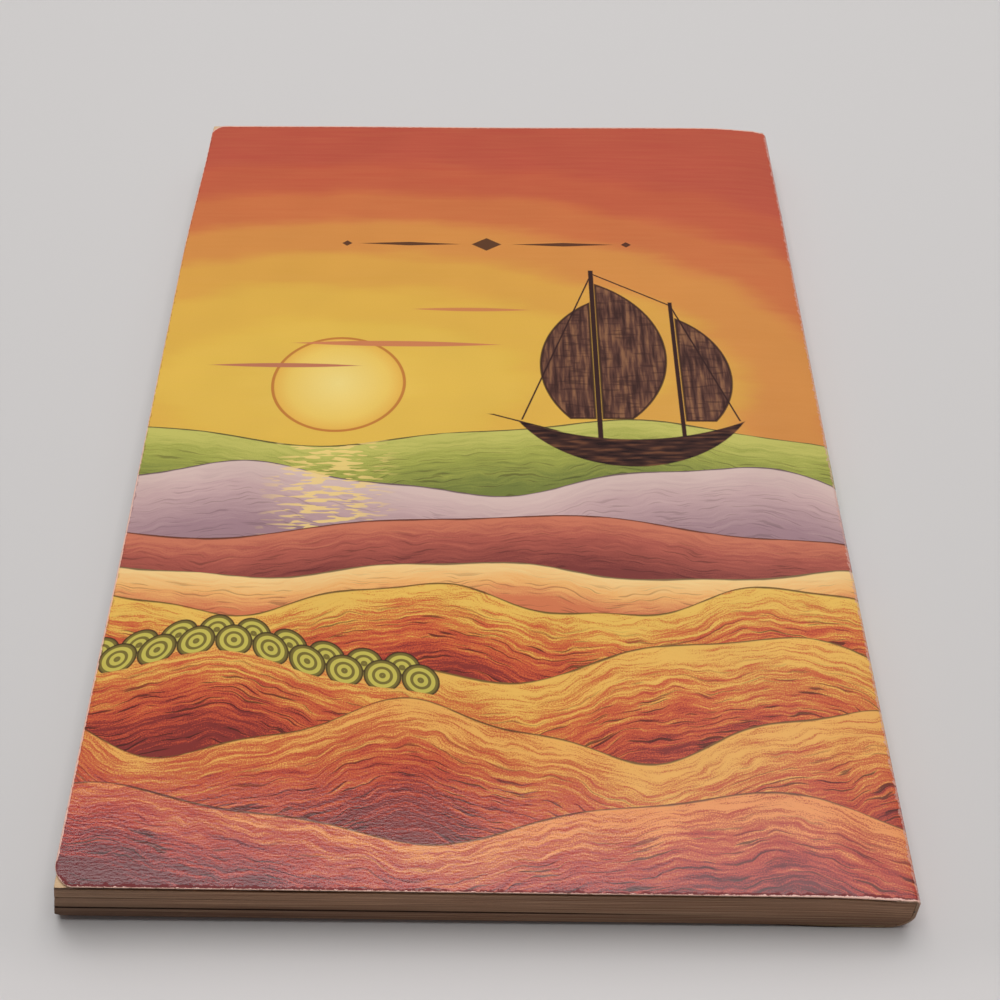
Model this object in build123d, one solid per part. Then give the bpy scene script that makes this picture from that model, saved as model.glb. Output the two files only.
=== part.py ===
from build123d import *
import os

# A closed paperback book lying on its front cover.
# Millimetres, +Z up. +X runs from the fore edge to the spine, +Y from the tail of the pages to the head.
# The origin is on the ground, under the middle of the book's box.

# Driving dimensions
cover_height = 193.7          # tail to head
trim_width = 130.5            # back cover's fore edge to the spine's widest place
book_thickness = 10.1         # ground to the top of the back cover at its fold
card_thickness = 0.28         # cover card
glue_thickness = 0.3          # adhesive between the leaves and the card
side_glue_width = 4.0         # how far the adhesive reaches on to each face, from the spine
fold_inset = 12.0             # spine to the line where each cover bends
shoulder_drop = 1.2           # fall of the back cover's shoulder from its fold to the spine
shoulder_radius = 1.0         # corner between the shoulder and the spine
roll_radius = 4.0             # lower corner of the spine, rounded by reading
spine_lean = 0.25             # how far the spine's upper corner stands back from its widest place
fore_edge_lean = 1.9          # how far the lowest leaf stands out past the back cover and the top leaf
cover_lift = 0.3              # the back cover's fore edge stands this much off the top leaf
cover_corner_radius = 3.0     # worn outer corners of both covers
least_radius = 0.05           # tightest corner that the paper or the adhesive keeps
leaf_gap_width = 0.12         # height of a gap between two leaves
leaf_gap_depth = 0.6          # how deep a gap is cut into the trimmed faces
leaf_gap_stop = 18.0          # where the gaps close, before the spine

# Heights of the gaps between leaves, in shares of the block's thickness
leaf_gap_height_shares = (0.33, 0.67)

# Places worked out from the sizes
overall_width = trim_width + fore_edge_lean
spine_face = overall_width / 2
back_fore_edge = spine_face - trim_width
front_fore_edge = -overall_width / 2
fold_line = spine_face - fold_inset
side_glue_line = spine_face - side_glue_width
shoulder_slope = shoulder_drop / (fold_inset - spine_lean)
shoulder_height = book_thickness - shoulder_drop
spine_slope = spine_lean / (shoulder_height - roll_radius)
block_bottom = card_thickness
block_top = book_thickness - card_thickness
overrun = trim_width


def corner_radius(radius, other_radius, inset):
    """A spine corner followed inwards, with room on the spine's height for the other corner."""
    room = shoulder_height - 2 * other_radius
    return max(min(radius, room) - inset, least_radius)


def wall_at(height, inset):
    """The spine's wall, which leans back above its widest place."""
    return spine_face - inset - (height - roll_radius) * spine_slope


def section(inset):
    """Closed book section, drawn an inset inside the card's outer face and open-ended at the fore edge."""
    floor = inset
    ceiling = book_thickness - inset
    upper_wall = spine_face - spine_lean - inset
    shoulder = ceiling - (upper_wall - fold_line) * shoulder_slope
    beyond = front_fore_edge - overrun
    lower_corner = corner_radius(roll_radius, shoulder_radius, inset)
    upper_corner = corner_radius(shoulder_radius, 0, inset)
    rounded = FilletPolyline(
        (beyond, floor),
        (wall_at(floor, inset), floor),
        (upper_wall, shoulder),
        (fold_line, ceiling),
        radius=[lower_corner, upper_corner],
    )
    top = Polyline((fold_line, ceiling), (beyond, ceiling), (beyond, floor))
    return make_face([rounded, top])


def right_of(x):
    """Everything on the spine's side of an upright line."""
    height = book_thickness + overrun
    return Pos(x + overrun / 2, height / 2 - overrun / 2) * Rectangle(overrun, height)


def along_the_book(face):
    """A section carried from the tail to the head."""
    return extrude(Plane.XZ * face, amount=cover_height / 2, both=True)


def rounded_panel(face):
    """A cover panel with its two outer corners worn round."""
    panel = along_the_book(face)
    corners = panel.edges().filter_by(Axis.Z).group_by(Axis.X)[0]
    return fillet(corners, radius=cover_corner_radius)


def glue_section():
    """The adhesive's section: a film inside the card that stops a little way on to each face."""
    film = section(card_thickness) - section(card_thickness + glue_thickness)
    return film & right_of(side_glue_line)


def spine():
    """Card over the spine, with a strip glued down on each face as far as the fold."""
    wrap = section(0) - section(card_thickness)
    return along_the_book(wrap & right_of(fold_line))


def back_cover():
    """Upper panel, from the fold to its fore edge, which curls up a little."""
    outline = Polyline(
        (fold_line, block_top),
        (fold_line, book_thickness),
        (back_fore_edge, book_thickness + cover_lift),
        (back_fore_edge, block_top + cover_lift),
        close=True,
    )
    return rounded_panel(make_face(outline))


def front_cover():
    """Lower panel, flat under the leaves and flush with the lowest of them."""
    outline = Polyline(
        (fold_line, 0),
        (fold_line, block_bottom),
        (front_fore_edge, block_bottom),
        (front_fore_edge, 0),
        close=True,
    )
    return rounded_panel(make_face(outline))


def spine_glue():
    """Adhesive over the leaves' back edges and a little way on to both faces."""
    return along_the_book(glue_section())


def fore_edge_at(height):
    """Where the leaning fore edge of the leaves is at a height."""
    lean_share = (block_top - height) / (block_top - block_bottom)
    return back_fore_edge - (back_fore_edge - front_fore_edge) * lean_share


def leaf_gap(height):
    """A shallow slit round the tail, fore edge and head, where two leaves stand apart."""
    start = front_fore_edge - overrun
    end = spine_face - leaf_gap_stop
    slab = Pos((start + end) / 2, 0, height) * Box(end - start, cover_height, leaf_gap_width)
    core_start = fore_edge_at(height) + leaf_gap_depth
    core_place = Pos((core_start + spine_face) / 2, 0, height)
    core_width = cover_height - 2 * leaf_gap_depth
    core = core_place * Box(spine_face - core_start, core_width, leaf_gap_width + card_thickness)
    return slab - core


def page_block():
    """All the leaves as one solid, with a leaning fore edge and a rolled back edge."""
    fore_side = Polyline(
        (fore_edge_at(block_bottom), block_bottom),
        (fore_edge_at(block_top), block_top),
        (spine_face, block_top),
        (spine_face, block_bottom),
        close=True,
    )
    leaves = section(card_thickness) & make_face(fore_side)
    block = along_the_book(leaves - glue_section())
    for share in leaf_gap_height_shares:
        block -= leaf_gap(block_bottom + (block_top - block_bottom) * share)
    return block


nodes = {
    "page_block": page_block(),
    "spine_glue": spine_glue(),
    "spine": spine(),
    "back_cover": back_cover(),
    "front_cover": front_cover(),
}

os.makedirs("parts", exist_ok=True)
for name, solid in nodes.items():
    solid.label = name
    export_step(solid, f"parts/{name}.step")

print("back cover folds about x =", round(fold_line, 4), "z =", book_thickness)
print("front cover folds about x =", round(fold_line, 4), "z = 0")
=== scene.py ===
import bpy
import math
import random
from dataclasses import dataclass
from mathutils import Matrix, Vector


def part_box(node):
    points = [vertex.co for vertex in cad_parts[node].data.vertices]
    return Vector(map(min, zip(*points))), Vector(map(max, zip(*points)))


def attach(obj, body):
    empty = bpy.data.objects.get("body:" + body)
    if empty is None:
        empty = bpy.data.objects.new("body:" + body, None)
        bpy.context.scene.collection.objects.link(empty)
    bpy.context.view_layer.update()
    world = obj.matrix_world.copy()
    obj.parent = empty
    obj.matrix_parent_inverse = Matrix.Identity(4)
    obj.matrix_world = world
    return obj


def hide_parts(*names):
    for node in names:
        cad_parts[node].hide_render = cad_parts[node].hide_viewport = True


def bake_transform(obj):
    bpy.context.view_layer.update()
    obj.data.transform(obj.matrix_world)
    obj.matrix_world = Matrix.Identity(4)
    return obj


# A closed paperback book on a pale floor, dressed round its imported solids.
# Shapes are worked out in millimetres, and each mesh is written in metres.
# +X runs from the fore edge to the spine, +Y from the tail of the pages to the head.
MM = 0.001

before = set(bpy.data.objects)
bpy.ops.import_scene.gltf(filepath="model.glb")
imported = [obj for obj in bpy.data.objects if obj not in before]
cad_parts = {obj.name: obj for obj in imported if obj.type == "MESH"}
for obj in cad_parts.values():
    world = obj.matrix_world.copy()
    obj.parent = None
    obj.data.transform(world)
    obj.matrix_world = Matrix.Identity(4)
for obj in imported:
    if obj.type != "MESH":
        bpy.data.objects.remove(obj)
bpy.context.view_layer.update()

random.seed(7)


def box_in_mm(node):
    """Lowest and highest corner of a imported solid, in millimetres."""
    low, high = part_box(node)
    return low / MM, high / MM


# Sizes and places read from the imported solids
back_low, back_high = box_in_mm("back_cover")
front_low, front_high = box_in_mm("front_cover")
spine_low, spine_high = box_in_mm("spine")
leaves_low, leaves_high = box_in_mm("page_block")
half_height = back_high.y
card = front_high.z
cover_top = spine_high.z
cover_lift = back_high.z - cover_top
spine_face = spine_high.x
fold_x = spine_low.x
back_fore_edge = back_low.x
front_fore_edge = front_low.x
leaves_bottom = leaves_low.z
leaves_top = leaves_high.z
side_glue_line = box_in_mm("spine_glue")[0].x

# The spine's own sizes, as on the part's drawing
glue_depth = card + 0.3
shoulder_drop = 1.2
shoulder_radius = 1.0
spine_lean = 0.25
roll_radius = 4.0
fold_softness = 4.0
shoulder_slope = shoulder_drop / (spine_face - spine_lean - fold_x)
spine_slope = spine_lean / (cover_top - shoulder_drop - roll_radius)

# Where the card falls short of the leaves
head_shortfall = 0.5
head_shortfall_at_fold = 0.1
under_shortfall = 0.3
spine_head_wear = 0.8

# How the book's long sides stray from straight, along Y
fore_edge_draw = 0.95
fore_edge_draw_start = 48.0
spine_bow = 0.27
spine_bow_middle = -18.0
spine_bow_reach = 84.0
cover_overhang = 0.3
overhang_start = -25.0
stray_run = 45.0

# The back cover's wave, between its fold and its fore edge
ripple_start = 30.0
ripple_length = 13.5
swell_length_across = 24.0
swell_length_along = 31.0

# Light levels, where 1 shows as white
backdrop_level = 0.6
room_level = 0.13

# How the page leaves lie
leaf_count = 96
leaf_margin = 0.02
top_leaves_share = 0.945
top_leaves_recess = 0.4
worn_leaf_corner = 0.04
bottom_leaves_share = 0.05
bottom_leaves_recess = 0.2
bundle_leaves = 11
bundle_unevenness = 0.04
leaf_unevenness = 0.03
leaf_rounding = 0.12
groove_depth = 0.05
gap_rounding = 0.02
gap_fade = 50.0
gap_give = 5.0


class CardLine:
    """The card's outer face in cross-section, from the back cover's fore edge round to the front one's."""

    def __init__(self, x, z, heading):
        self.pieces = []
        self.end = x, z, heading
        self.length = 0.0

    def go(self, length, radius=None):
        """Goes on straight, or round an arc that turns towards the leaves. Returns the length so far."""
        self.pieces.append((self.length, *self.end, radius))
        self.end = self.after(self.pieces[-1], length)
        self.length += length
        return self.length

    def turn(self, angle, radius):
        """Goes round an arc by an angle."""
        return self.go(angle * radius, radius)

    @staticmethod
    def after(piece, length):
        """Place and heading a length into one piece."""
        _, x, z, heading, radius = piece
        if radius is None:
            return x + length * math.cos(heading), z + length * math.sin(heading), heading
        new_heading = heading - length / radius
        x += radius * (math.sin(heading) - math.sin(new_heading))
        z -= radius * (math.cos(heading) - math.cos(new_heading))
        return x, z, new_heading

    def at(self, s):
        """Place and outward direction at a distance along the card."""
        piece = [piece for piece in self.pieces if piece[0] <= s][-1]
        x, z, heading = self.after(piece, s - piece[0])
        return x, z, -math.sin(heading), math.cos(heading)


def walk_card():
    """The whole card line, and the distances along it at which the two folds lie."""
    panel_width = fold_x - back_fore_edge
    panel_heading = -math.atan2(cover_lift, panel_width)
    shoulder_run = spine_face - spine_lean - fold_x
    shoulder_heading = -math.atan(shoulder_slope)
    lean = math.atan(spine_slope)
    fold_angle = panel_heading - shoulder_heading
    corner_angle = math.pi / 2 - lean + shoulder_heading
    corner_reach = shoulder_radius * math.tan(corner_angle / 2)
    roll_reach = roll_radius * math.tan((math.pi / 2 + lean) / 2)
    foot_x = spine_face + roll_radius * spine_slope
    line = CardLine(back_fore_edge, cover_top + cover_lift, panel_heading)
    line.go(math.hypot(panel_width, cover_lift) - fold_softness)
    fold_radius = fold_softness / math.tan(fold_angle / 2)
    back_fold = line.turn(fold_angle / 2, fold_radius)
    line.turn(fold_angle / 2, fold_radius)
    line.go(math.hypot(shoulder_run, shoulder_drop) - fold_softness - corner_reach)
    line.turn(corner_angle, shoulder_radius)
    wall = math.hypot(cover_top - shoulder_drop, foot_x - spine_face + spine_lean)
    line.go(wall - corner_reach - roll_reach)
    line.turn(math.pi / 2 + lean, roll_radius)
    front_fold = line.go(foot_x - roll_reach - fold_x)
    line.go(fold_x - front_fore_edge)
    return line, back_fold, front_fold


card_line, back_fold_s, front_fold_s = walk_card()
card_end_s = card_line.length
spine_corner_s = card_line.pieces[4][0] + 0.5 * shoulder_radius


def card_wave(s, y):
    """How far the back cover bows off its straight line, between its fold and its fore edge."""
    if s > back_fold_s:
        return 0.0
    share = 1 - s / back_fold_s
    room = 0.5 * cover_lift * 4 * share * (1 - share)
    ripple = math.cos((s - ripple_start) / ripple_length) * (0.45 + 0.55 * y / half_height)
    swell = 0.5 * math.sin(y / swell_length_along + s / swell_length_across)
    return room * (0.62 * ripple + 0.38 * swell)


def smooth_step(value):
    value = min(max(value, 0.0), 1.0)
    return value * value * (3 - 2 * value)


def fall_short(s, y):
    """Draws a place along the book in, where the card is shorter than the leaves at the head or the tail."""
    if s < back_fold_s:
        head = head_shortfall + (head_shortfall_at_fold - head_shortfall) * s / back_fold_s
    else:
        head = head_shortfall_at_fold * (1 - smooth_step((s - back_fold_s) / 10))
    near_corner = smooth_step((s - spine_corner_s + 1.2) / 1.2)
    head += spine_head_wear * near_corner * (1 - smooth_step((s - spine_corner_s - 0.5) / 2.5))
    tail = under_shortfall * smooth_step((s - front_fold_s) / 12)
    share = (y + half_height) / (2 * half_height)
    return y - head * share + tail * (1 - share)


def stray(x, y):
    """Sideways shift of a place: the fore edge draws in towards the head, and the spine bows in midway."""
    share = min(max((x - front_fore_edge) / (spine_face - front_fore_edge), 0.0), 1.0)
    at_fore_edge = fore_edge_draw * smooth_step((y - fore_edge_draw_start) / stray_run)
    at_spine = spine_bow * max(1 - ((y - spine_bow_middle) / spine_bow_reach) ** 2, 0.0)
    return at_fore_edge * (1 - share) - at_spine * share


def card_place(s, y, depth):
    """A point in the card: a distance along it, a place along the book, and a depth below its outer face."""
    x, z, out_x, out_z = card_line.at(s)
    rise = card_wave(s, y) - depth
    x += out_x * rise
    if s < back_fold_s:
        x -= cover_overhang * (1 - s / back_fold_s) * smooth_step((overhang_start - y) / stray_run)
    return x + stray(x, y), fall_short(s, y), z + out_z * rise


@dataclass
class WornCorner:
    """An outer corner of a cover, rounded by wear. It reaches a way across the cover and a way along it."""

    across: float
    along: float
    fullness: float

    def cut(self, from_end, inset):
        """How far the outline has drawn back from the fore edge, near the tail or head."""
        across = self.across - inset
        along = self.along - inset
        rise = min(max(1 - from_end / along, 0.0), 1.0)
        return across * (1 - (1 - rise ** self.fullness) ** (1 / self.fullness))

    def ends(self, steps):
        """Distances from the tail or head at which the corner is drawn, closest together at its tip."""
        return [self.along * (1 - math.sin(math.pi / 2 * (1 - i / steps))) for i in range(steps + 1)]


# How closely the card is drawn: in from a cut edge, beside a bend, and elsewhere
near_edge = [0.0, 0.15, 0.4, 0.9, 1.8]
near_bend = [1.6, 1.2, 0.9, 0.8, 0.7, 0.6, 0.5, 0.4, 0.3, 0.2, 0.1, 0.0]
mesh_step = 2.6


def spread(start, stop, step):
    """Evenly spaced distances from start to stop, about a step apart."""
    count = max(int(round((stop - start) / step)), 1)
    return [start + (stop - start) * i / count for i in range(count + 1)]


@dataclass
class Panel:
    """A stretch of the card between two distances along it. A free side is a fore edge with worn corners."""

    start: float
    stop: float
    free_side: str = None
    tail_corner: WornCorner = None
    head_corner: WornCorner = None

    def rows(self):
        """Shares of the length, from the tail, at which the card is drawn."""
        length = 2 * half_height
        tail_ends = head_ends = near_edge
        if self.free_side is not None:
            tail_ends = self.tail_corner.ends(12)
            head_ends = self.head_corner.ends(12)
        middle = spread(tail_ends[-1], length - head_ends[-1], mesh_step)[1:-1]
        distances = tail_ends + middle + [length - end for end in reversed(head_ends)]
        return [distance / length for distance in distances]

    def outline(self, row, inset):
        """Place along the book, and where the card starts and stops there."""
        y = -half_height + inset + row * 2 * (half_height - inset)
        start, stop = self.start, self.stop
        if self.free_side is not None:
            from_tail = y + half_height - inset
            from_head = half_height - inset - y
            cut = inset + max(self.tail_corner.cut(from_tail, inset), self.head_corner.cut(from_head, inset))
            if self.free_side == "start":
                start += cut
            else:
                stop -= cut
        return y, start, stop

    def to_edge(self, s, y):
        """Distance from the nearest cut edge, in millimetres."""
        nearest = min(half_height - y, half_height + y)
        if self.free_side is None:
            return nearest
        from_fore = s - self.start if self.free_side == "start" else self.stop - s
        nearest = min(nearest, from_fore)
        for corner, from_end in ((self.tail_corner, y + half_height), (self.head_corner, half_height - y)):
            beside = 1 - from_fore / corner.across
            above = 1 - from_end / corner.along
            if beside > 0 and above > 0:
                reach = (beside ** corner.fullness + above ** corner.fullness) ** (1 / corner.fullness)
                nearest = min(nearest, (1 - reach) * min(corner.across, corner.along))
        return max(nearest, 0.0)


def new_object(name, data):
    """An object in the scene, at the origin."""
    thing = bpy.data.objects.new(name, data)
    bpy.context.scene.collection.objects.link(thing)
    return thing


def new_piece(name, points, top, bottom, loops, slots, materials, attributes):
    """A closed piece in metres: two sheets of points, and the loops that join them, from the bottom up."""
    faces = []
    for j in range(len(top) - 1):
        for i in range(len(top[0]) - 1):
            faces.append((top[j][i], top[j][i + 1], top[j + 1][i + 1], top[j + 1][i]))
            faces.append((bottom[j][i], bottom[j + 1][i], bottom[j + 1][i + 1], bottom[j][i + 1]))
    face_slots = list(slots[:2]) * (len(faces) // 2)
    count = len(loops[0])
    for lower, upper in zip(loops, loops[1:]):
        for k in range(count):
            after = (k + 1) % count
            faces.append((lower[k], lower[after], upper[after], upper[k]))
            face_slots.append(slots[2])
    mesh = bpy.data.meshes.new(name)
    mesh.from_pydata([(x * MM, y * MM, z * MM) for x, y, z in points], [], faces)
    for material in materials:
        mesh.materials.append(material)
    mesh.polygons.foreach_set("material_index", face_slots)
    mesh.polygons.foreach_set("use_smooth", [True] * len(faces))
    for label, kind, values in attributes:
        attribute = mesh.attributes.new(label, kind, "POINT")
        attribute.data.foreach_set("vector" if kind == "FLOAT_VECTOR" else "value", values)
    mesh.set_sharp_from_angle(angle=math.radians(50))
    mesh.validate()
    return new_object(name, mesh)


def grid_rim(columns, rows):
    """Index pairs round the border of a grid, once round."""
    tail = [(i, 0) for i in range(columns)]
    right = [(columns - 1, j) for j in range(1, rows)]
    head = [(i, rows - 1) for i in range(columns - 2, -1, -1)]
    left = [(0, j) for j in range(rows - 2, 0, -1)]
    return tail + right + head + left


rim_round = 0.07


def card_piece(name, panel, column_shares, materials):
    """A closed piece of card, of three materials: for its outer face, its rounded rim and its inner face."""
    rows = panel.rows()
    column_count = len(column_shares)
    row_count = len(rows)
    rim = grid_rim(column_count, row_count)
    points = []
    flat_places = []
    edge_distances = []

    def add_point(i, j, inset, depth):
        y, start, stop = panel.outline(rows[j], inset)
        s = start + column_shares[i] * (stop - start)
        points.append(card_place(s, y, depth))
        flat_places.extend((s, y + half_height, depth))
        edge_distances.append(panel.to_edge(s, y))
        return len(points) - 1

    def add_sheet(depth):
        return [[add_point(i, j, rim_round, depth) for i in range(column_count)] for j in range(row_count)]

    outer = add_sheet(0)
    soft = 0.3 * rim_round
    loops = [[outer[j][i] for i, j in rim]]
    for inset, depth in ((soft, soft), (0, rim_round), (0, card - rim_round), (soft, card - soft)):
        loops.append([add_point(i, j, inset, depth) for i, j in rim])
    inner = add_sheet(card)
    loops.append([inner[j][i] for i, j in rim])
    attributes = [("card_place", "FLOAT_VECTOR", flat_places), ("to_edge", "FLOAT", edge_distances)]
    return new_piece(name, points, outer, inner, loops[::-1], (0, 2, 1), materials, attributes)


def panel_columns(panel):
    """Shares across a cover panel: close together at its fore edge and where it bends, and even between."""
    width = panel.stop - panel.start
    bend = [width - near for near in near_bend]
    distances = near_edge + spread(near_edge[-1], bend[0], mesh_step)[1:-1] + bend
    shares = [distance / width for distance in distances]
    if panel.free_side == "stop":
        shares = [1 - share for share in reversed(shares)]
    return shares


def spine_columns(panel):
    """Shares across the spine's card: even on its flats and close together round its corners."""
    width = panel.stop - panel.start
    places = {0.0, width}
    for start, _, _, _, radius in card_line.pieces:
        step = 2.0 if radius is None else 0.3
        ends = [piece[0] for piece in card_line.pieces if piece[0] > start] + [card_end_s]
        for s in spread(max(start, panel.start), min(ends[0], panel.stop), step):
            if panel.start < s < panel.stop:
                places.add(round(s - panel.start, 6))
    kept = []
    for place in sorted(places):
        if not kept or place - kept[-1] > 0.02:
            kept.append(place)
    kept[-1] = width
    return [place / width for place in kept]


# The page leaves

@dataclass
class LeafGap:
    """A place where two leaves stand apart at the trimmed edges, as far as a place across the book."""

    share: float
    opening: float
    depth: float
    end_x: float
    # How dark the painted shade inside the gap is.
    painted_gap_shade: float

    def openness(self, x):
        """1 over most of the gap's run, falling to 0 at its end."""
        return smooth_step((self.end_x - x) / gap_fade)

    def lift(self, share, x):
        """How far the gap pushes a leaf up or down. Leaves near it give way the most."""
        away = (share - self.share) * leaf_count
        return math.copysign(self.opening / 2 * math.exp(-abs(away) / gap_give), away) * self.openness(x)


leaf_gaps = [
    LeafGap(32 / leaf_count, opening=0.34, depth=0.6, end_x=48.0, painted_gap_shade=0.8),
    LeafGap(64 / leaf_count, opening=0.1, depth=0.35, end_x=0.0, painted_gap_shade=0.4),
]


def fore_edge_at(share):
    """Where the leaning fore edge is at a share of the leaves' height."""
    return back_fore_edge + (front_fore_edge - back_fore_edge) * (1 - share)


def back_edge_at(share):
    """Where the leaves end at the spine: at its wall, its rolled corner, or the side glue's edge."""
    thickness = leaves_top - leaves_bottom
    z = leaves_bottom + share * thickness
    centre_x = spine_face - roll_radius

    def rolled(inset):
        drop = roll_radius - z
        radius = roll_radius - inset
        if drop <= 0:
            return spine_face - inset + drop * spine_slope
        return centre_x + math.sqrt(max(radius ** 2 - drop ** 2, 0.0))

    inner = max(rolled(glue_depth), min(rolled(card), side_glue_line))
    if (1 - share) * thickness < glue_depth - card:
        inner = min(inner, side_glue_line)
    return inner - leaf_margin


def leaf_height(share, x):
    """Height of a leaf at a place across the book. The leaves fall with the shoulder."""
    top = leaves_top - leaf_margin
    fall = max(x - fold_x + fold_softness, 0.0)
    reach = 2 * fold_softness
    soft_fall = fall ** 2 / (2 * reach) if fall < reach else fall - reach / 2
    top -= soft_fall * shoulder_slope
    bottom = leaves_bottom + leaf_margin
    return bottom + share * (top - bottom)


def cover_lift_at(x, y):
    """How far the back cover stands off the leaves."""
    s = max(x - back_fore_edge, 0.0)
    return max(cover_lift * (1 - s / back_fold_s) + card_wave(s, y), 0.0)


def leaf_rings():
    """For each ring round the leaves: its share of their height, its inset, and the gap that it is in."""
    rings = []
    for leaf in range(leaf_count):
        if leaf % bundle_leaves == 0:
            bundle_inset = random.uniform(0.0, bundle_unevenness)
        inset = leaf_margin + bundle_inset + random.uniform(0.0, leaf_unevenness)
        rings.append(((leaf + leaf_rounding) / leaf_count, inset, None))
        rings.append(((leaf + 1 - leaf_rounding) / leaf_count, inset, None))
        edge = (leaf + 1) / leaf_count
        gap = next((gap for gap in leaf_gaps if gap.share == edge), None)
        if gap:
            rings.append((edge - gap_rounding / leaf_count, inset, gap))
            rings.append((edge + gap_rounding / leaf_count, inset, gap))
        elif edge < 1:
            rings.append((edge, inset + groove_depth, None))
    return rings


def page_leaves(materials):
    """All the leaves as one closed piece, with a groove between each leaf and the next."""
    rows = [0.0, 0.006, 0.014] + spread(0.03, 0.97, 0.067) + [0.986, 0.994, 1.0]
    columns = [0.0, 0.008, 0.018, 0.03] + spread(0.05, 0.9, 0.05) + spread(0.91, 0.99, 0.01) + [0.997, 1.0]
    rim = grid_rim(len(columns), len(rows))
    rings = leaf_rings()
    points = []
    flat_places = []
    leaf_numbers = []

    def add_point(i, j, share, inset, gap):
        fore = fore_edge_at(share)
        back = back_edge_at(share)
        x = fore + columns[i] * (back - fore)
        edge_inset = inset + (gap.depth * gap.openness(x) if gap else 0.0)
        recess = bottom_leaves_recess * smooth_step(1 - share / bottom_leaves_share)
        if share > top_leaves_share:
            recess += top_leaves_recess * smooth_step((x - fore - 1) / 5)
        y = -half_height + rows[j] * 2 * half_height
        y = max(-half_height + edge_inset + recess, min(half_height - edge_inset, y))
        x = max(x, fore + edge_inset)
        if i == 0 and rows[j] in (0.0, 1.0):
            worn = worn_leaf_corner + 0.2 * smooth_step(1 - share * 8)
            x += worn
            y -= math.copysign(worn, y)
        z = leaf_height(share, x) + sum(leaf_gap.lift(share, x) for leaf_gap in leaf_gaps)
        z += 0.4 * cover_lift_at(x, y) * share ** 24
        points.append((x + stray(x, y), y, z))
        flat_places.extend((x - fore_edge_at(1), y + half_height, z))
        leaf_numbers.append(share * leaf_count)
        return len(points) - 1

    def full_sheet(share, inset):
        return [[add_point(i, j, share, inset, None) for i in range(len(columns))] for j in range(len(rows))]

    bottom = full_sheet(0.0, rings[0][1] + leaf_margin)
    loops = [[bottom[j][i] for i, j in rim]]
    for share, inset, gap in rings:
        loops.append([add_point(i, j, share, inset, gap) for i, j in rim])
    top = full_sheet(1.0, rings[-1][1] + leaf_margin)
    loops.append([top[j][i] for i, j in rim])
    attributes = [("page_place", "FLOAT_VECTOR", flat_places), ("leaf_number", "FLOAT", leaf_numbers)]
    return new_piece("page_leaves", points, top, bottom, loops, (0, 0, 1), materials, attributes)


# Shader wiring

def paint(red, green, blue):
    """A colour as it looks on a screen, 0 to 255, in the linear values that a shader takes."""
    def linear(level):
        share = level / 255
        return share / 12.92 if share <= 0.04045 else ((share + 0.055) / 1.055) ** 2.4
    return linear(red), linear(green), linear(blue), 1.0


def adds_math(operation, swapped=False):
    """A method that adds one Math node to the wiring."""
    def method(self, *others):
        values = (self, *others)
        return self.wiring.math(operation, *(values[::-1] if swapped else values))
    return method


class Signal:
    """A value that changes over a surface, with arithmetic that adds Math nodes."""

    def __init__(self, wiring, socket):
        self.wiring = wiring
        self.socket = socket

    __add__ = adds_math("ADD")
    __sub__ = adds_math("SUBTRACT")
    __rsub__ = adds_math("SUBTRACT", swapped=True)
    __mul__ = adds_math("MULTIPLY")
    __truediv__ = adds_math("DIVIDE")
    __rtruediv__ = adds_math("DIVIDE", swapped=True)
    __abs__ = adds_math("ABSOLUTE")
    sine = adds_math("SINE")
    floor = adds_math("FLOOR")
    fraction = adds_math("FRACT")

    def above(self, low, high):
        return self.wiring.ease(self, low, high)


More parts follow.
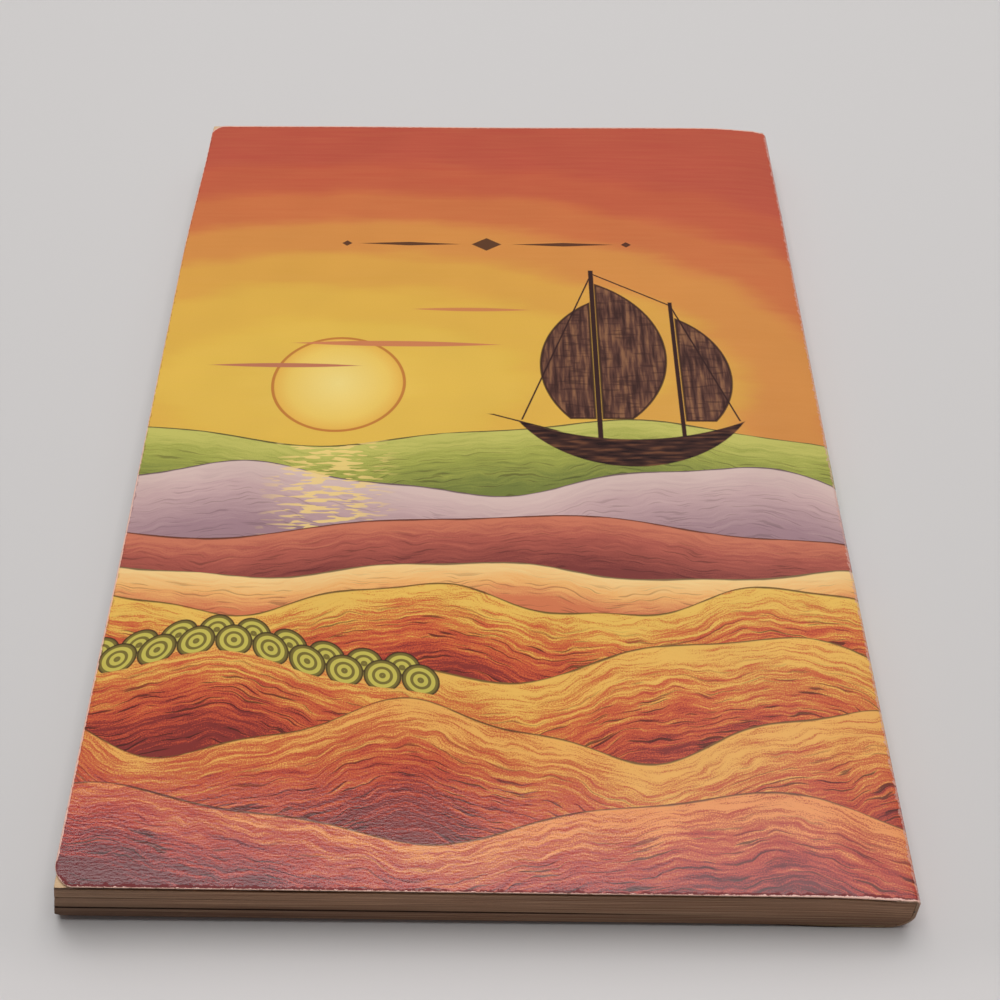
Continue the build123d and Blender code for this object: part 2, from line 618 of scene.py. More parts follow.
class Wiring:
    """The nodes of one material or group, added and joined by short calls."""

    def __init__(self, tree):
        self.tree = tree

    def add(self, kind, inputs=None, **settings):
        """A node of a kind, with settings and with values or signals for its inputs."""
        node = self.tree.nodes.new(kind)
        for name, value in settings.items():
            setattr(node, name, value)
        for name, value in (inputs or {}).items():
            self.feed(node.inputs[name], value)
        return node

    def feed(self, socket, value):
        if isinstance(value, Signal):
            self.tree.links.new(value.socket, socket)
        else:
            socket.default_value = value

    def signal(self, kind, inputs=None, output=0, **settings):
        """A new node's output."""
        return Signal(self, self.add(kind, inputs, **settings).outputs[output])

    def math(self, operation, *values):
        return self.signal("ShaderNodeMath", dict(enumerate(values)), operation=operation)

    def vector_math(self, operation, inputs, output=0):
        return self.signal("ShaderNodeVectorMath", inputs, output, operation=operation)

    def smaller(self, first, *others):
        for value in others:
            first = self.math("MINIMUM", first, value)
        return first

    def larger(self, first, *others):
        for value in others:
            first = self.math("MAXIMUM", first, value)
        return first

    def ease(self, value, low, high):
        """0 below low and 1 above high, smooth between. With low over high it falls instead."""
        inputs = {"Value": value, "From Min": low, "From Max": high}
        if isinstance(low, (int, float)) and isinstance(high, (int, float)) and low > high:
            inputs = {"Value": value, "From Min": high, "From Max": low, "To Min": 1.0, "To Max": 0.0}
        return self.signal("ShaderNodeMapRange", inputs, interpolation_type="SMOOTHSTEP")

    def attribute(self, name, output="Vector"):
        return self.signal("ShaderNodeAttribute", None, output, attribute_name=name)

    def split(self, vector):
        node = self.add("ShaderNodeSeparateXYZ", {0: vector})
        return [Signal(self, node.outputs[index]) for index in range(3)]

    def join(self, x, y, z=0.0):
        return self.signal("ShaderNodeCombineXYZ", {0: x, 1: y, 2: z})

    def noise(self, vector, scale=1.0, detail=2.0, roughness=0.5, dimensions="3D"):
        inputs = {"Vector": vector, "Scale": scale, "Detail": detail, "Roughness": roughness}
        return self.signal("ShaderNodeTexNoise", inputs, noise_dimensions=dimensions)

    def flat_noise(self, x, y, detail=2.0, roughness=0.5):
        """Noise over a flat place, cheaper than noise in space."""
        return self.noise(self.join(x, y), detail=detail, roughness=roughness, dimensions="2D")

    def distance(self, vector, point):
        return self.vector_math("DISTANCE", {0: vector, 1: point}, 1)

    def dot(self, vector, direction):
        return self.vector_math("DOT_PRODUCT", {0: vector, 1: direction}, 1)

    def scale_vector(self, vector, factor):
        return self.vector_math("SCALE", {0: vector, 3: factor})

    def choose(self, share, first, second, kind="FLOAT"):
        """Goes from the first to the second as the share goes from 0 to 1."""
        output = ("FLOAT", "VECTOR", "RGBA").index(kind)
        inputs = {0: share, 2 * output + 2: first, 2 * output + 3: second}
        return self.signal("ShaderNodeMix", inputs, output, data_type=kind)

    def mix(self, share, first, second):
        return self.choose(share, first, second, "RGBA")

    def scale_colour(self, colour, factor):
        inputs = {0: 1.0, 6: colour, 7: self.join(factor, factor, factor)}
        return self.signal("ShaderNodeMix", inputs, 2, data_type="RGBA", blend_type="MULTIPLY")

    def ramp(self, share, stops):
        """Colours along a share. Each stop is its place and then its red, green and blue."""
        node = self.add("ShaderNodeValToRGB", {0: share})
        elements = node.color_ramp.elements
        while len(elements) < len(stops):
            elements.new(0.5)
        for element, (place, *colour) in zip(elements, stops):
            element.position = place
            element.color = paint(*colour)
        return Signal(self, node.outputs[0])

    def group(self, tree, inputs):
        node = self.add("ShaderNodeGroup", inputs, node_tree=tree)
        return {output.name: Signal(self, output) for output in node.outputs}


def new_material(name):
    """An empty material, its wiring and its Principled shader."""
    material = bpy.data.materials.new(name)
    material.use_nodes = True
    material.node_tree.nodes.clear()
    wiring = Wiring(material.node_tree)
    shader = wiring.add("ShaderNodeBsdfPrincipled")
    output = wiring.add("ShaderNodeOutputMaterial")
    material.node_tree.links.new(shader.outputs[0], output.inputs[0])
    return material, wiring, shader


def new_group(name, inputs, build):
    """A shader node group. Inputs have numbers to start from, or are places, and build gives its outputs."""
    tree = bpy.data.node_groups.new(name, "ShaderNodeTree")
    for label, value in inputs.items():
        kind = "NodeSocketVector" if value is None else "NodeSocketFloat"
        socket = tree.interface.new_socket(label, in_out="INPUT", socket_type=kind)
        if value is not None:
            socket.default_value = value
    wiring = Wiring(tree)
    given = wiring.add("NodeGroupInput")
    results = build(wiring, {socket.name: Signal(wiring, socket) for socket in given.outputs if socket.name})
    for label in results:
        tree.interface.new_socket(label, in_out="OUTPUT", socket_type="NodeSocketFloat")
    wiring.add("NodeGroupOutput", results)
    return tree


# Effects that several materials share

def fibre_outputs(w, given):
    """Paper fibre: a tone round 1 and a height, from fine grain and slow mottling."""
    fine = w.noise(w.scale_vector(given["Place"], 1.0 / given["Grain"]), detail=2.0, roughness=0.65)
    mottle = w.noise(given["Place"], scale=0.07, detail=1.0)
    contrast = given["Contrast"] * 2
    return {"Tone": (fine - 0.5) * contrast + (mottle - 0.5) * contrast + 1.0, "Height": fine}


def toning_outputs(w, given):
    """Ageing that creeps in from a paper's edges: 1 at the edge, falling to 0 about a reach away."""
    drift = w.noise(given["Place"], scale=0.11, detail=2.0)
    share = 1.0 - given["To Edge"] / (given["Reach"] * (drift + 0.45))
    return {"Share": share.above(0.0, 1.1)}


def speck_outputs(w, given):
    """Scattered specks: a mask that covers more as the amount rises."""
    blotch = w.noise(w.scale_vector(given["Place"], 1.0 / given["Size"]), detail=3.0, roughness=0.6)
    limit = 0.72 - given["Amount"] * 0.44
    return {"Mask": w.ease(blotch, limit, limit + 0.06)}


paper_fibre = new_group("paper_fibre", {"Place": None, "Grain": 0.3, "Contrast": 0.1}, fibre_outputs)
edge_toning = new_group("edge_toning", {"Place": None, "To Edge": 0.0, "Reach": 6.0}, toning_outputs)
specks = new_group("specks", {"Place": None, "Size": 0.4, "Amount": 0.3}, speck_outputs)


def bump(w, shader, height, depth):
    """Raises the surface by a height, where 1 stands for a depth in millimetres."""
    node = w.add("ShaderNodeBump", {"Strength": 1.0, "Distance": depth * MM, "Height": height})
    w.tree.links.new(node.outputs[0], shader.inputs["Normal"])


def paper_finish(w, shader, colour, place, grain, contrast, roughness, depth):
    """A matt finish: a colour toned by fibre, which stands up from the surface by a depth."""
    fibre = w.group(paper_fibre, {"Place": place, "Grain": grain, "Contrast": contrast})
    w.feed(shader.inputs["Base Color"], w.scale_colour(colour, fibre["Tone"]))
    shader.inputs["Roughness"].default_value = roughness
    bump(w, shader, fibre["Height"], depth)


# The printed design: a sunset over rolling swells, in flat fields of colour.
# Places on it are in millimetres: across from a cover's fore edge, and along from the tail.

mirror_s = (back_fold_s + front_fold_s) / 2
sun_place = (36.0, 108.0)
sun_radius = 13.0
ring_step = 10.6
ring_flatness = 0.5
ship_place = (93.0, 86.5)
ornament_place = (65.0, 151.0)
stroke_length = 12.0
stroke_width = 0.8
stroke_wander = 4.2
crayon = 0.8

ink = paint(58, 36, 34)


@dataclass
class Swell:
    """One rolling swell of the printed sea: its crest line, how deep its colours run, and its strokes."""

    base: float
    rise: float
    length: float
    shift: float
    depth: float
    streak: float
    colours: list


def ember_swell(base, rise, length, shift, depth, dusk):
    """A near swell, from gold at its crest to red, and darker the nearer it is to the tail."""
    return Swell(
        base=base, rise=rise, length=length, shift=shift, depth=depth, streak=1.7,
        colours=[
            (0.0, 234, 188 - 38 * dusk, 92),
            (0.16, 222 - 12 * dusk, 162 - 42 * dusk, 76),
            (0.34, 212 - 20 * dusk, 124 - 34 * dusk, 66),
            (0.56, 206 - 22 * dusk, 96 - 26 * dusk, 60 - 2 * dusk),
            (0.8, 184 - 36 * dusk, 74 - 20 * dusk, 54),
            (1.0, 138 - 30 * dusk, 56 - 14 * dusk, 50 - 4 * dusk),
        ],
    )


swells = [
    Swell(
        base=95.0, rise=3.2, length=112.0, shift=50.0, depth=14.0, streak=0.8,
        colours=[(0.0, 196, 190, 100), (0.4, 163, 165, 78), (1.0, 116, 124, 62)],
    ),
    Swell(
        base=83.0, rise=3.6, length=90.0, shift=4.0, depth=14.0, streak=0.5,
        colours=[(0.0, 214, 186, 178), (0.35, 200, 167, 165), (1.0, 163, 129, 136)],
    ),
    Swell(
        base=71.5, rise=2.8, length=124.0, shift=84.0, depth=11.0, streak=0.8,
        colours=[(0.0, 204, 120, 92), (0.35, 178, 93, 79), (1.0, 128, 62, 58)],
    ),
    Swell(
        base=61.5, rise=1.9, length=78.0, shift=36.0, depth=7.0, streak=0.7,
        colours=[(0.0, 244, 204, 138), (0.5, 240, 178, 108), (1.0, 212, 122, 82)],
    ),
    ember_swell(55.0, 3.4, 66.0, 30.0, 17.0, 0.0),
    ember_swell(43.0, 4.6, 92.0, 4.0, 23.0, 0.15),
    ember_swell(28.5, 5.0, 74.0, 40.0, 24.0, 0.4),
    ember_swell(13.0, 4.2, 100.0, 20.0, 17.0, 0.95),
]
last_glinting_swell = 1
scaled_swell = 5


def crest_line(w, across, swell):
    """Height of a swell's crest above the tail."""
    beat = 2 * math.pi / swell.length
    roll = w.math("MULTIPLY_ADD", across, beat, swell.shift * beat).sine()
    chop = w.math("MULTIPLY_ADD", across, beat * 2.7, swell.shift).sine()
    rolled = w.math("MULTIPLY_ADD", roll, swell.rise, swell.base)
    return w.math("MULTIPLY_ADD", chop, swell.rise * 0.22, rolled)


def rolling_sea(w, across, along, grain, under):
    """Paints the swells. Each one's colours run down from its crest, in strokes that follow it."""
    colour = under
    number = -1.0
    facts = (0.0, 0.0, 0.0)
    shows = []
    for swell_number, swell in enumerate(swells):
        below = crest_line(w, across, swell) - along
        shows.append(w.math("GREATER_THAN", below, 0.0))
        number = w.choose(shows[-1], number, float(swell_number))
        facts = w.choose(shows[-1], facts, w.join(below, 1 / swell.depth, swell.streak), "VECTOR")
    below, steepness, streak = w.split(facts)
    drift = w.flat_noise(across / 9, along / 9)
    flow = below + (drift - 0.5) * stroke_wander
    seed = number * 7.3
    strokes = w.flat_noise(across / stroke_length + seed, flow / stroke_width, detail=3.0, roughness=0.72)
    hairs = w.flat_noise(across / (stroke_length * 0.7) - seed, flow / (stroke_width * 0.6), detail=1.0)
    touch = strokes - 0.5 + (grain - 0.5) * crayon
    left_shade = w.ease(across, 95.0, 10.0) * w.ease(along, 46.0, 16.0)
    fall = below * steepness + touch * streak + left_shade * 0.34 - 0.08
    for shown, swell in zip(shows, swells):
        colour = w.mix(shown, colour, w.ramp(fall, swell.colours))
    dark_hairs = hairs.above(0.62, 0.7) * (below * steepness).above(0.08, 0.6) * streak
    colour = w.mix(w.smaller(dark_hairs * 0.5, 0.75) * shows[0], colour, ink)
    crest_width = drift * 0.6 + 0.15
    colour = w.mix(w.ease(below, crest_width, crest_width - 0.3) * 0.8 * shows[0], colour, ink)
    colour = sun_path(w, across, along, number, colour)
    return foam_scales(w, across, along, number, colour)


def evening_sky(w, across, along):
    """Flattened rings of colour round the low sun, yellow near it and red far off."""
    sun_middle = (sun_place[0] * ring_flatness, sun_place[1], 0.0)
    from_sun = w.distance(w.join(across * ring_flatness, along), sun_middle)
    brush = w.flat_noise(across / 30, along / 8, detail=3.0, roughness=0.55)
    ring = from_sun / ring_step + (brush - 0.5) * 0.7
    blend = (ring.floor() + ring.fraction().above(0.5, 1.0)) / 7.0
    colour = w.ramp(blend, [
        (0.0, 230, 190, 84), (0.2, 225, 182, 76), (0.38, 220, 168, 72), (0.5, 215, 150, 71),
        (0.62, 210, 132, 70), (0.74, 201, 106, 66), (0.87, 192, 89, 64), (1.0, 185, 81, 64),
    ])
    streaks = w.flat_noise(across / 16, along / 0.9)
    return w.mix((streaks - 0.5) * 0.12 + 0.04, colour, paint(232, 170, 104))


def low_sun(w, place, under):
    """The sun's disc, paler in its middle, with a thin darker rim."""
    from_sun = w.distance(place, (*sun_place, 0.0))
    colour = w.ramp(from_sun / sun_radius, [(0.0, 240, 214, 130), (0.75, 236, 198, 98), (1.0, 230, 176, 78)])
    colour = w.mix(w.ease(abs(from_sun - sun_radius), 0.45, 0.2) * 0.7, colour, paint(176, 92, 48))
    return w.mix(from_sun.above(sun_radius + 0.4, sun_radius + 0.2), under, colour)


def disc(w, place, centre, radius):
    """Distance outside a disc."""
    return w.distance(place, (*centre, 0.0)) - radius


def cloud_bar(w, place, centre, length, thickness, colour, under):
    """A thin lens of cloud, where two large discs overlap."""
    half = length / 2
    radius = (half ** 2 + (thickness / 2) ** 2) / thickness
    upper = disc(w, place, (centre[0], centre[1] - radius + thickness / 2), radius)
    lower = disc(w, place, (centre[0], centre[1] + radius - thickness / 2), radius)
    return w.mix(w.larger(upper, lower).above(0.12, -0.12), under, colour)


def sailing_ship(w, across, along, under):
    """A dark two-masted ship, drawn from its keel: a crescent hull, three bellied sails, masts and stays."""
    place = w.join(across - ship_place[0], along - ship_place[1])
    grain = w.flat_noise(across / 0.9, along / 7)
    weave = w.flat_noise(across / 5, along / 0.8, detail=1.0)

    def outside(x, y, angle):
        """Distance outside a straight line, away from the side that the angle points to."""
        normal = (math.cos(math.radians(angle)), math.sin(math.radians(angle)), 0.0)
        return x * normal[0] + y * normal[1] - w.dot(place, normal)

    def mast(x, half_width, height):
        beside = abs(outside(x, 0, 0)) - half_width
        return w.larger(beside, outside(0, 5, 90), outside(0, height, 270))

    def stay(start, end):
        rise = math.degrees(math.atan2(end[1] - start[1], end[0] - start[0]))
        beside = abs(outside(*start, rise + 90)) - 0.17
        low, high = sorted((start[1], end[1]))
        return w.larger(beside, outside(0, low, 90), outside(0, high, 270))

    hull = w.larger(disc(w, place, (0, 26), 26), 0.0 - disc(w, place, (0, 58), 51))
    main_sail = w.larger(disc(w, place, (-16, 30), 24), outside(-5.2, 0, 0), outside(0, 12.5, 90))
    fore_sail = w.larger(disc(w, place, (5, 27), 22), outside(-6.8, 0, 180), outside(0, 12.5, 90))
    after_sail = w.larger(disc(w, place, (1, 24), 19.5), outside(10.8, 0, 0), outside(0, 12.0, 90))
    spars = w.smaller(
        mast(-6, 0.5, 56),
        mast(10, 0.42, 46),
        stay((-21, 12), (-6, 54.5)),
        stay((21, 12), (10, 45)),
        stay((-6, 55), (10, 45)),
        stay((-27, 13.5), (-14, 9)),
    )
    sails = w.smaller(main_sail, fore_sail, after_sail)
    sail_stops = [(0.3, 66, 42, 38), (0.5, 98, 64, 54), (0.72, 142, 98, 70)]
    hull_stops = [(0.3, 44, 28, 28), (0.55, 70, 44, 38), (0.75, 110, 70, 50)]
    sail_colour = w.ramp(grain, sail_stops)
    sail_colour = w.mix(weave.above(0.55, 0.7) * 0.5, sail_colour, ink)
    colour = w.mix(sails.above(0.15, -0.15), under, sail_colour)
    colour = w.mix(abs(sails).above(0.35, 0.12) * 0.9, colour, ink)
    colour = w.mix(spars.above(0.12, -0.12), colour, ink)
    return w.mix(hull.above(0.15, -0.15), colour, w.ramp(weave, hull_stops))


def sun_path(w, across, along, number, under):
    """Short pale glints on the far swells, under the sun."""
    glint = w.flat_noise(across / 4.5, along / 0.75, detail=1.0)
    spread_out = w.ease(abs(across - sun_place[0]), 15.0, 4.0)
    nearest = last_glinting_swell + 0.5
    far_swells = number.above(-0.6, -0.4) * number.above(nearest + 0.1, nearest - 0.1)
    mask = (glint + spread_out * 0.14).above(0.64, 0.7) * spread_out * far_swells
    return w.mix(mask * 0.8, under, paint(242, 208, 128))


def foam_scales(w, across, along, number, under):
    """Two rows of overlapping ringed scales along a swell's crest, behind the nearer swells."""
    pitch = 6.4
    half = pitch / 2
    crest = crest_line(w, across, swells[scaled_swell])
    in_front = number.above(scaled_swell + 0.6, scaled_swell + 0.4)
    colour = under
    for shift, drop in ((0.5, -0.6), (0.0, -2.6)):
        count = across / pitch + shift
        local = (count.fraction() - 0.5) * pitch
        rise = along - crest - drop
        from_middle = w.distance(w.join(local, rise), (0.0, 0.0, 0.0))
        fill = w.mix((from_middle * 5.2).sine().above(-0.1, 0.5), paint(198, 184, 86), paint(122, 108, 54))
        fill = w.mix(from_middle.above(half - 0.45, half - 0.1), fill, ink)
        inside = from_middle.above(half + 0.1, half - 0.1) * (rise + 2.4).above(-0.1, 0.1)
        colour = w.mix(inside * count.floor().above(8.6, 8.4) * in_front, colour, fill)
    return colour


def ornament(w, across, along, under):
    """A small lozenge between two tapered rules."""
    from_middle = abs(across - ornament_place[0])
    off_line = abs(along - ornament_place[1])
    lozenge = from_middle / 3.2 + off_line / 2.1
    rule = off_line / 0.6 + abs(from_middle - 16.5) / 11.0
    dots = abs(from_middle - 30.0) / 1.1 + off_line / 0.9
    shape = w.smaller(lozenge, rule, dots)
    return w.mix(shape.above(1.06, 0.94) * 0.88, under, ink)


def printed_design(w, across, along, grain):
    """The whole design, from the sky forward."""
    place = w.join(across, along)
    colour = evening_sky(w, across, along)
    colour = low_sun(w, place, colour)
    colour = cloud_bar(w, place, (47.0, 119.5), 42.0, 1.6, paint(206, 128, 84), colour)
    colour = cloud_bar(w, place, (25.0, 113.0), 30.0, 1.2, paint(190, 118, 88), colour)
    colour = cloud_bar(w, place, (62.0, 130.0), 24.0, 1.1, paint(206, 132, 80), colour)
    colour = ornament(w, across, along, colour)
    colour = rolling_sea(w, across, along, grain, colour)
    return sailing_ship(w, across, along, colour)


def printed_card_material():
    """Coated card: the printed design, its fine screen, a worn rim, and wrinkles that catch the light."""
    material, w, shader = new_material("printed_card")
    flat_place = w.attribute("card_place")
    s, along, _ = w.split(flat_place)
    to_edge = w.attribute("to_edge", "Fac")
    across = mirror_s - abs(s - mirror_s)
    screen = w.group(paper_fibre, {"Place": flat_place, "Grain": 0.24, "Contrast": 0.06})
    colour = printed_design(w, across, along, screen["Height"])
    colour = w.scale_colour(colour, screen["Tone"])
    scuff = w.flat_noise(s * 1.3, along * 1.3, detail=3.0, roughness=0.7)
    tatter = w.flat_noise(s / 1.6, along / 1.6, detail=3.0, roughness=0.6)
    at_tail = w.ease(along, 6.0, 3.0)
    at_head = along.above(2 * half_height - 3, 2 * half_height - 2)
    along_side = w.ease(along, 110.0, 60.0) * 0.14 + 0.14
    along_tail = w.ease(s, 90.0, 126.0) * 0.24 + 0.06
    pale_width = w.choose(at_tail, w.choose(at_head, along_side, 0.38), along_tail)
    pale_width = pale_width + (scuff - 0.5) * w.choose(at_tail, 0.4, 0.8)
    dark_width = w.choose(at_tail, 0.12, w.ease(s, 70.0, 20.0) * 0.14 + 0.3) + (tatter - 0.5) * 1.1
    past_pale = to_edge - pale_width
    dark_line = past_pale.above(0.0, 0.06) * w.ease(past_pale, dark_width + 0.07, dark_width - 0.07)
    colour = w.mix(dark_line * w.choose(at_tail, 0.35, 0.85), colour, paint(112, 36, 38))
    colour = w.mix(w.ease(past_pale, 0.05, -0.05) * 0.9, colour, paint(232, 188, 172))
    corner_rub = w.ease(abs(s - spine_corner_s) - (scuff - 0.42) * 1.6, 0.15, -0.05)
    colour = w.mix(corner_rub * 0.65, colour, paint(216, 168, 156))
    w.feed(shader.inputs["Base Color"], colour)
    dulled = scuff * 0.05 + w.ease(s, 60.0, 118.0) * 0.12 + 0.055
    w.feed(shader.inputs["Roughness"], w.larger(dulled, dark_line * at_tail * 0.6))
    wrinkle = w.flat_noise(s, along / 0.42, roughness=0.6)
    wrinkled = w.ease(along, 27.0, 13.0) * (w.ease(s, 112.0, 60.0) * 0.22 + 0.06)
    bump(w, shader, screen["Height"] * 0.1 + wrinkle * wrinkled, 0.08)
    return material


def cut_card_edge_material():
    """The card's cut edge: a pale core, darker round the spine, and dark on the front cover, partly dirt and
    partly painted contact shade.
    """
    material, w, shader = new_material("cut_card_edge")
    flat_place = w.attribute("card_place")
    s, _, _ = w.split(flat_place)
    dirt = w.group(specks, {"Place": flat_place, "Size": 1.4, "Amount": 0.4})
    colour = w.mix(dirt["Mask"] * 0.8, paint(226, 184, 164), paint(150, 108, 86))
    colour = w.mix(s.above(spine_corner_s, spine_corner_s + 1.5) * 0.8, colour, paint(134, 106, 82))
    # Partly dirt and partly painted contact shade: the front cover's cut edge, which meets the floor, is
    # darkened.
    colour = w.mix(s.above(front_fold_s - 6, front_fold_s), colour, paint(70, 48, 38))
    paper_finish(w, shader, colour, flat_place, grain=0.2, contrast=0.3, roughness=0.85, depth=0.03)
    return material


def card_inside_material():
    """The card's uncoated inner side, toned towards its edges."""
    material, w, shader = new_material("card_inside")
    flat_place = w.attribute("card_place")
    to_edge = w.attribute("to_edge", "Fac")
    toning = w.group(edge_toning, {"Place": flat_place, "To Edge": to_edge, "Reach": 16.0})
    colour = w.mix(toning["Share"] * 0.75, paint(226, 212, 184), paint(196, 164, 122))
    paper_finish(w, shader, colour, flat_place, grain=0.35, contrast=0.05, roughness=0.8, depth=0.02)
    return material


def page_face_material():
    """A leaf's face: aged cream paper, browner towards its trimmed edges, with a few foxing spots."""
    material, w, shader = new_material("page_face")
    place = w.attribute("page_place")
    across, along, _ = w.split(place)
    to_edge = w.smaller(across, along, 2 * half_height - along)
    toning = w.group(edge_toning, {"Place": place, "To Edge": to_edge, "Reach": 11.0})
    foxing = w.group(specks, {"Place": place, "Size": 4.5, "Amount": 0.04})
    colour = w.mix(toning["Share"], paint(228, 210, 176), paint(214, 180, 142))
    colour = w.mix(foxing["Mask"] * 0.4, colour, paint(176, 124, 80))
    paper_finish(w, shader, colour, place, grain=0.3, contrast=0.06, roughness=0.9, depth=0.02)
    return material


def trimmed_edge_material():
    """The trimmed edges of the leaves: tan, with a tone of its own for each leaf and for each few leaves,
    and painted shade between the leaves, inside the gaps, towards the floor and under the cover.
    """
    material, w, shader = new_material("trimmed_edge")
    place = w.attribute("page_place")
    across, along, _ = w.split(place)
    leaf = w.attribute("leaf_number", "Fac")
    leaf_tone = w.noise(w.join(across / 22, along / 22, leaf.floor() * 3.7), detail=1.0)
    bundle_tone = w.noise(w.join(across / 60, along / 60, leaf / 2.6), detail=2.0, roughness=0.7)
    # Painted shade in the grooves between neighbouring leaves.
    between = w.ease(abs(leaf.fraction() - 0.5), 0.36, 0.5)
    shade = (leaf_tone - 0.5) * 1.1 + (bundle_tone - 0.5) * 1.5 + 0.5
    colour = w.ramp(shade, [(0.1, 124, 88, 64), (0.5, 172, 130, 102), (0.9, 210, 172, 140)])
    colour = w.mix(w.ease(across, 30.0, 0.0) * 0.35, colour, paint(168, 142, 118))
    colour = w.mix(between * 0.4, colour, paint(92, 62, 42))
    # Painted shade: the lowest leaves darken towards the floor, most towards the fore edge, and the top
    # leaves darken in a painted shadow under the overhanging cover.
    painted_floor_shade = w.ease(leaf, 66.0, 0.0) * (w.ease(across, 70.0, 20.0) * 0.3 + 0.42)
    painted_cover_shadow = leaf.above(leaf_count * top_leaves_share - 0.5, leaf_count * top_leaves_share) * 0.65
    colour = w.mix(w.larger(painted_floor_shade, painted_cover_shadow), colour, paint(70, 42, 32))
    # Painted shade deep in each gap between leaves, fading where the gap closes.
    for gap in leaf_gaps:
        beside = w.ease(abs(leaf - gap.share * leaf_count), 2.0, 0.8)
        run = w.ease(across, gap.end_x + 62, gap.end_x + 22)
        colour = w.mix(beside * run * gap.painted_gap_shade, colour, paint(44, 24, 16))
    paper_finish(w, shader, colour, place, grain=0.25, contrast=0.1, roughness=0.92, depth=0.02)
    return material


def adhesive_material():
    """Yellowed adhesive, dirty and pitted where its end shows."""
    material, w, shader = new_material("adhesive")
    place = w.scale_vector(w.signal("ShaderNodeTexCoord", output=3), 1 / MM)
    pits = w.group(specks, {"Place": place, "Size": 0.5, "Amount": 0.34})
    crumbs = w.group(specks, {"Place": place, "Size": 0.35, "Amount": 0.16})
    colour = w.mix(pits["Mask"], paint(160, 122, 88), paint(54, 36, 26))
    colour = w.mix(crumbs["Mask"], colour, paint(224, 196, 160))
    paper_finish(w, shader, colour, place, grain=0.3, contrast=0.3, roughness=0.55, depth=0.05)
    return material


card_materials = [printed_card_material(), cut_card_edge_material(), card_inside_material()]

back_tail_corner = WornCorner(across=3.1, along=3.8, fullness=1.7)
back_head_corner = WornCorner(across=2.7, along=2.8, fullness=1.6)
front_tail_corner = WornCorner(across=1.6, along=1.6, fullness=1.9)
front_head_corner = WornCorner(across=2.6, along=2.6, fullness=1.9)
back_panel = Panel(0.0, back_fold_s, "start", back_tail_corner, back_head_corner)
front_panel = Panel(front_fold_s, card_end_s, "stop", front_tail_corner, front_head_corner)
spine_panel = Panel(back_fold_s, front_fold_s)


def cover(name, node, panel):
    """A cover of card, with a soft bend beside its fold, in place of its imported solid."""
    cover_card = card_piece(name, panel, panel_columns(panel), card_materials)
    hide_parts(node)
    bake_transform(cover_card)


cover("back_cover_card", "back_cover", back_panel)
cover("front_cover_card", "front_cover", front_panel)

spine_card = card_piece("spine_card", spine_panel, spine_columns(spine_panel), card_materials)
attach(spine_card, "block")
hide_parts("spine")

leaves = page_leaves([page_face_material(), trimmed_edge_material()])
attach(leaves, "block")
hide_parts("page_block")

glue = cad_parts["spine_glue"]
glue.data.materials.clear()
glue.data.materials.append(adhesive_material())


# Floor, light and camera

def floor_material():
    """Pale matt paper, with painted light that makes it paler in front of the book, where the lamps fall
    short. It fades far off, and is clear from below and under the book.
    """
    material, w, shader = new_material("floor_paper")
    place = w.signal("ShaderNodeNewGeometry")
    x, y, _ = w.split(w.scale_vector(place, 1 / MM))
    beside = abs(x)
    # Painted light: the floor's colour is made paler in a band in front of the book.
    front_light_ramp = w.ease(y, -half_height, -half_height - 11)
    in_front = front_light_ramp * y.above(-420.0, -140.0) * beside.above(240.0, 60.0)
    covered = beside.above(spine_face - 2, spine_face - 8) * abs(y).above(half_height - 2, half_height - 8)
    w.feed(shader.inputs["Base Color"], w.mix(in_front, paint(206, 203, 202), paint(215, 211, 210)))
    shader.inputs["Roughness"].default_value = 0.95
    shader.inputs["Specular IOR Level"].default_value = 0.1
    side = w.signal("ShaderNodeNewGeometry", output=6)
    reach = w.distance(place, (0.0, 0.0, 0.0))
    w.feed(shader.inputs["Alpha"], (1.0 - side) * w.ease(reach, 0.8, 0.3) * (1.0 - covered))
    return material


def lay_floor():
    """A wide pale floor. It meets the book at the spine, and the fore edge stands a little off it."""
    size = 30.0
    mesh = bpy.data.meshes.new("floor")
    corners = [(-size, -size, 0), (size, -size, 0), (size, size, 0), (-size, size, 0)]
    mesh.from_pydata(corners, [], [(0, 1, 2, 3)])
    mesh.materials.append(floor_material())
    plane = new_object("floor", mesh)
    stand_off = 1.2
    tilt = math.atan(stand_off / (spine_face - roll_radius - front_fore_edge))
    plane.rotation_euler.y = -tilt
    plane.location.x = (spine_face - roll_radius) * MM
    plane.location.z = -0.03 * MM


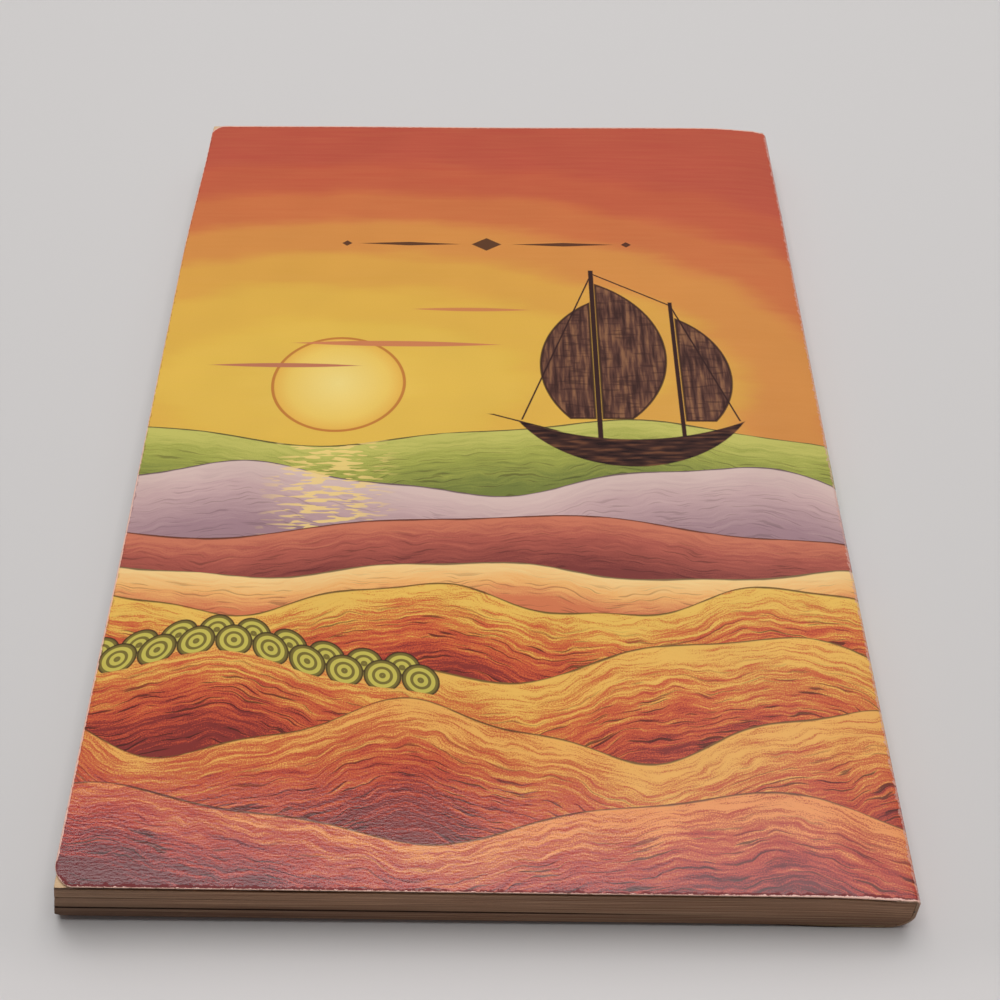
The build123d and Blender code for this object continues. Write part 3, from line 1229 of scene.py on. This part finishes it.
def hang_panel(name, x_range, y_range, radiance, height=1.0, mirrored=False):
    """A soft panel over or under a stretch of floor. It lights matt surfaces, or only shows in gloss."""
    data = bpy.data.lights.new(name, "AREA")
    data.shape = "RECTANGLE"
    data.size = x_range[1] - x_range[0]
    data.size_y = y_range[1] - y_range[0]
    data.energy = radiance * math.pi * data.size * data.size_y
    lamp = new_object(name, data)
    lamp.location = (sum(x_range) / 2, sum(y_range) / 2, height)
    lamp.rotation_euler.x = math.pi if height < 0 else 0.0
    lamp.visible_diffuse = not mirrored
    lamp.visible_glossy = mirrored


def hang_lights():
    """Soft panels over the book, behind it and under it, and the one whose sheen its gloss shows."""
    hang_panel("overhead_softbox", (-0.42, 0.43), (-0.27, 0.5), radiance=4.3)
    hang_panel("rear_bounce", (-1.1, 1.1), (0.52, 1.05), radiance=1.2)
    hang_panel("underside", (-0.45, 0.45), (-0.45, 0.45), radiance=1.3, height=-0.6)
    hang_panel("sheen", (-0.75, 1.73), (0.54, 0.95), radiance=3.6, height=2.0, mirrored=True)


def surroundings():
    """A dim even room, which the camera sees as a pale backdrop."""
    world = bpy.data.worlds.new("room")
    world.use_nodes = True
    world.node_tree.nodes.clear()
    w = Wiring(world.node_tree)
    seen = w.signal("ShaderNodeLightPath")
    strength = seen * (backdrop_level - room_level) + room_level
    background = w.add("ShaderNodeBackground", {"Color": (1, 1, 1, 1), "Strength": strength})
    output = w.add("ShaderNodeOutputWorld")
    world.node_tree.links.new(background.outputs[0], output.inputs[0])
    bpy.context.scene.world = world


def photo_camera():
    """The camera at the photograph's place, pitch and lens."""
    place = Vector((-1.45, -199.9, 218.2)) * MM
    pitch = math.radians(49.0)
    yaw = math.radians(-1.38)
    roll = math.radians(-0.57)
    data = bpy.data.cameras.new("photo_camera")
    data.sensor_width = 36.0
    data.lens = 54.065
    data.shift_x = 0.0493
    camera = new_object("photo_camera", data)
    tilt = Matrix.Rotation(math.pi / 2 - pitch, 4, "X") @ Matrix.Rotation(roll, 4, "Z")
    camera.matrix_world = Matrix.Translation(place) @ Matrix.Rotation(-yaw, 4, "Z") @ tilt
    bpy.context.scene.camera = camera


lay_floor()
hang_lights()
surroundings()
photo_camera()
bpy.context.scene.view_settings.view_transform = "Standard"
